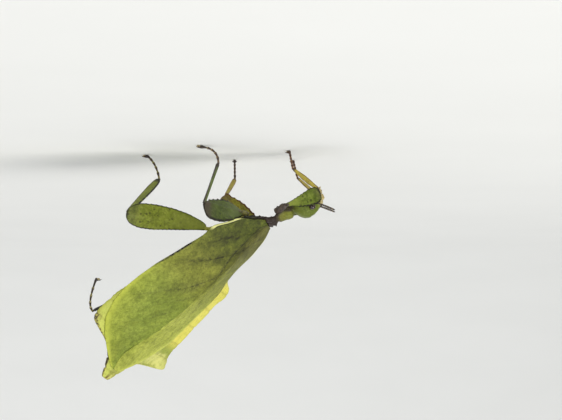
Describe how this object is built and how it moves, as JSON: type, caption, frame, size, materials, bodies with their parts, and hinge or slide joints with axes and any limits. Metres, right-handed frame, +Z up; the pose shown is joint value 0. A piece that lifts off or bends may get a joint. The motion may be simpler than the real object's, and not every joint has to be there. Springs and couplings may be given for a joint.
{
  "type": "leaf insect",
  "caption": "Life-size leaf insect standing with its broad leaf-shaped abdomen raised, leaf-lobed legs, veined forewings, small head and short feelers.",
  "frame": {"origin": "middle of the bounding box, on the floor under the soles", "axes": "+X towards the head, +Y to the insect's left, +Z up"},
  "size_m": [0.0552, 0.039, 0.0504],
  "materials": {
    "head_skin": "matte, finely granular green",
    "eyes": "glossy dark purple-brown",
    "antennae": "satin dark brown",
    "mouthparts": "satin pale yellow",
    "thorax": "matte dark olive with purple-brown",
    "abdomen": "satin yellow-green",
    "wings": "satin green, leaf-veined",
    "coxae": "satin olive and brown",
    "femora": "satin olive green with dark edges",
    "tibiae": "satin olive with dark edges",
    "tarsi": "satin dark brown"
  },
  "bodies": {
    "root": {"head": "head_skin", "eye_left": "eyes", "eye_right": "eyes", "antenna_left": "antennae", "antenna_right": "antennae", "mouthparts": "mouthparts", "palp_left": "mouthparts", "palp_right": "mouthparts", "pronotum": "thorax", "mesothorax": "thorax", "metathorax": "thorax", "abdomen": "abdomen", "abdomen_tip": "abdomen", "tegmen_left": "wings", "tegmen_right": "wings", "fore_left_coxa": "coxae", "fore_left_femur": "femora", "fore_left_tibia": "tibiae", "fore_left_tarsus": "tarsi", "fore_right_coxa": "coxae", "fore_right_femur": "femora", "fore_right_tibia": "tibiae", "fore_right_tarsus": "tarsi", "mid_left_coxa": "coxae", "mid_left_femur": "femora", "mid_left_tibia": "tibiae", "mid_left_tarsus": "tarsi", "mid_right_coxa": "coxae", "mid_right_femur": "femora", "mid_right_tibia": "tibiae", "mid_right_tarsus": "tarsi", "hind_left_coxa": "coxae", "hind_left_femur": "femora", "hind_left_tibia": "tibiae", "hind_left_tarsus": "tarsi", "hind_right_coxa": "coxae", "hind_right_femur": "femora", "hind_right_tibia": "tibiae", "hind_right_tarsus": "tarsi"}
  },
  "joints": []
}
